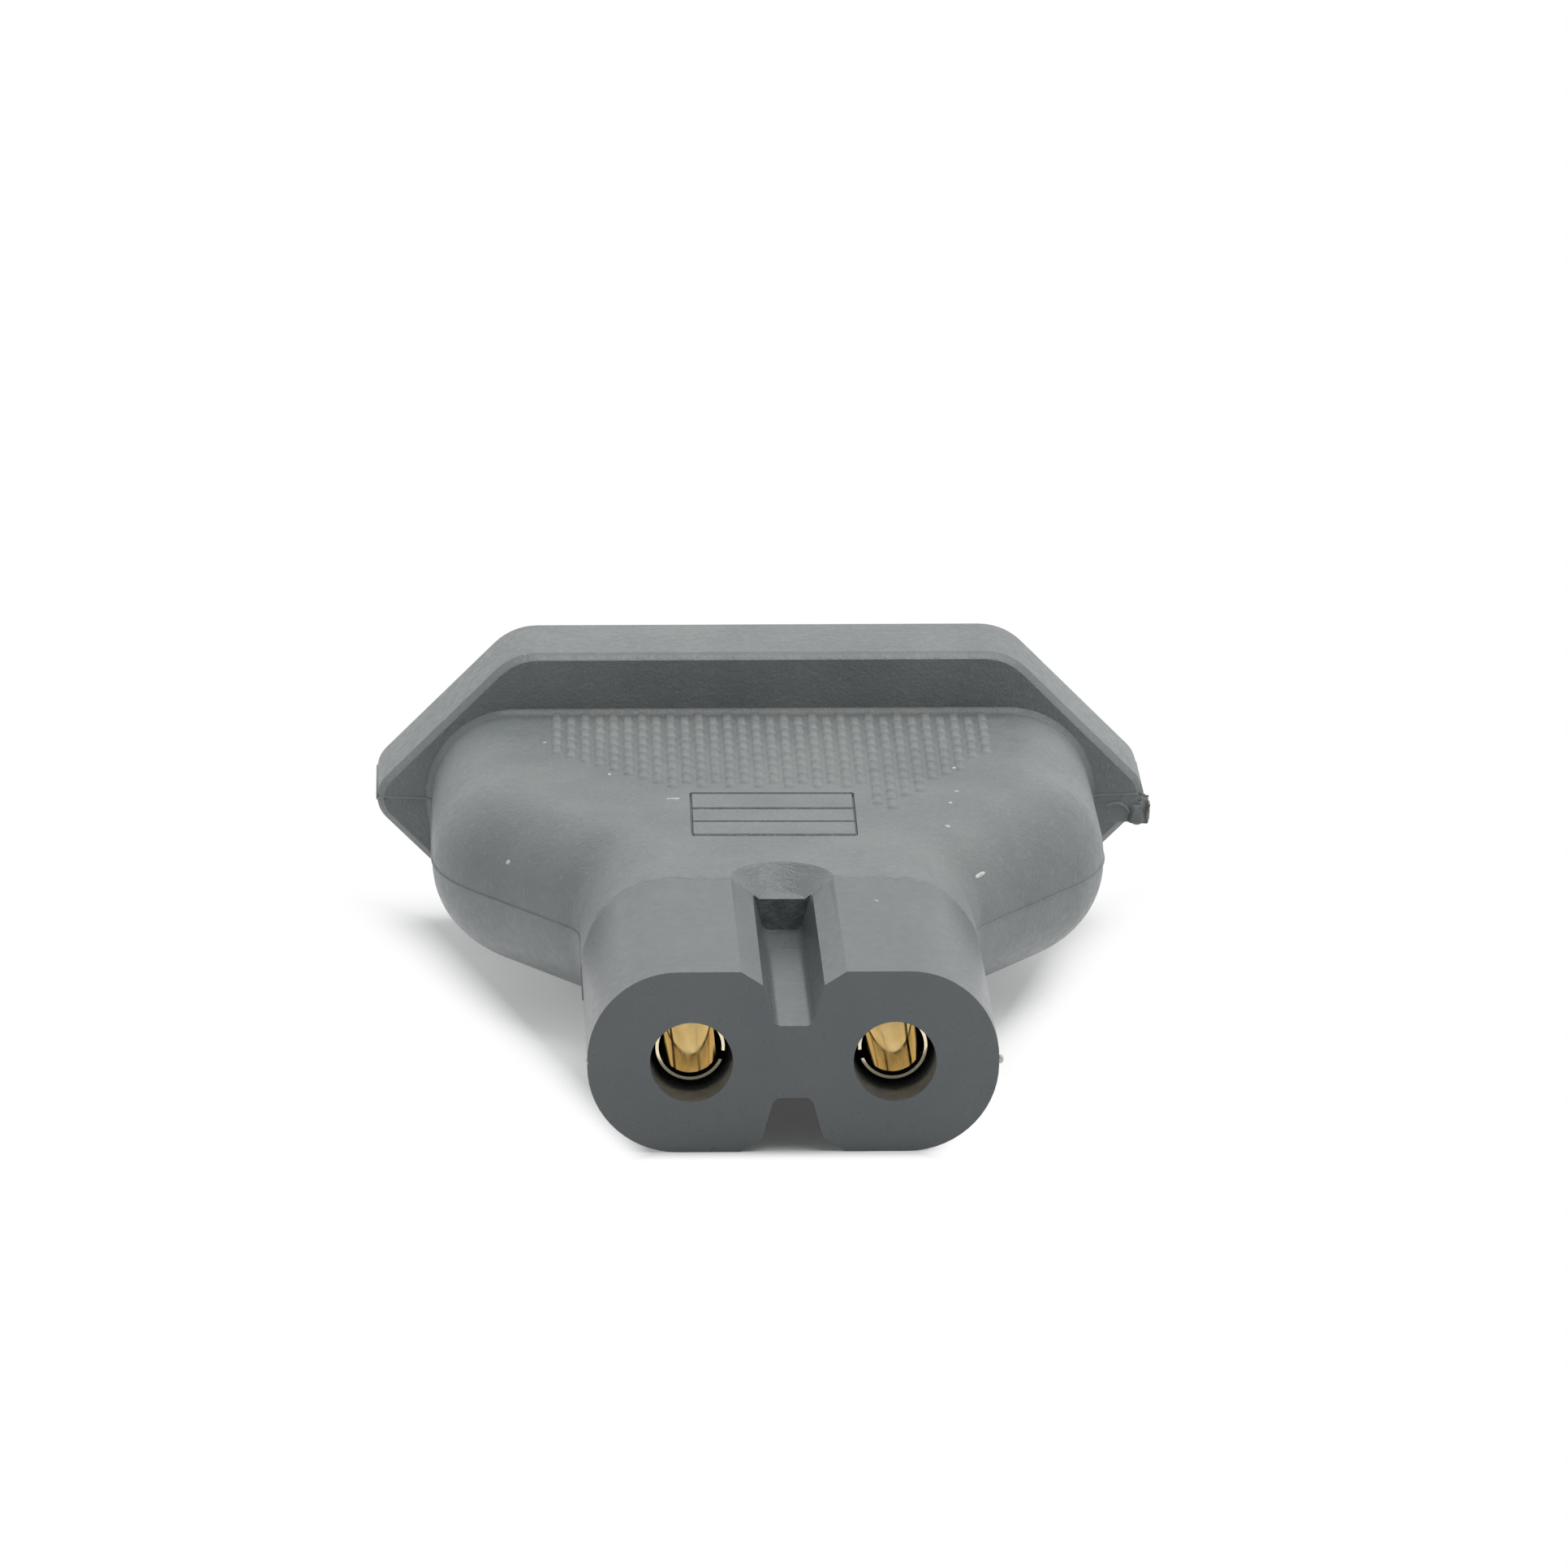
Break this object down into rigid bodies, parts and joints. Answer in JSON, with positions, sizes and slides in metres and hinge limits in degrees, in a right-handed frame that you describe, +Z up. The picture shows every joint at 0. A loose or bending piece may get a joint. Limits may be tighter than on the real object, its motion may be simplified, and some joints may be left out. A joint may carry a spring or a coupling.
{
  "type": "figure eight power connector",
  "caption": "Mains plug adapter: flat six-sided flange with insulated round pins on one side, figure-eight appliance nose with recessed brass contacts on the other.",
  "frame": {"origin": "centre of the flat plug face, midway between the pins", "axes": "+Y the way the pins go into the wall socket, nose towards -Y, +Z up, +X to the right seen from the nose"},
  "size_m": [0.0356, 0.0626, 0.0138],
  "materials": {
    "moulded_plastic": "fine spark-eroded mould texture on the grip, smoother nose",
    "contact_brass": "bright rolled sheet",
    "pin_nickel": "nickel plated, fine turning marks",
    "pin_insulation": "smooth black nylon",
    "lead_copper": "bare strand"
  },
  "bodies": {
    "root": {"moulded_body": "moulded_plastic", "left_contact": "contact_brass", "left_lead": "lead_copper", "left_plug_pin": "pin_nickel", "left_pin_sleeve": "pin_insulation", "right_contact": "contact_brass", "right_lead": "lead_copper", "right_plug_pin": "pin_nickel", "right_pin_sleeve": "pin_insulation"}
  },
  "joints": []
}
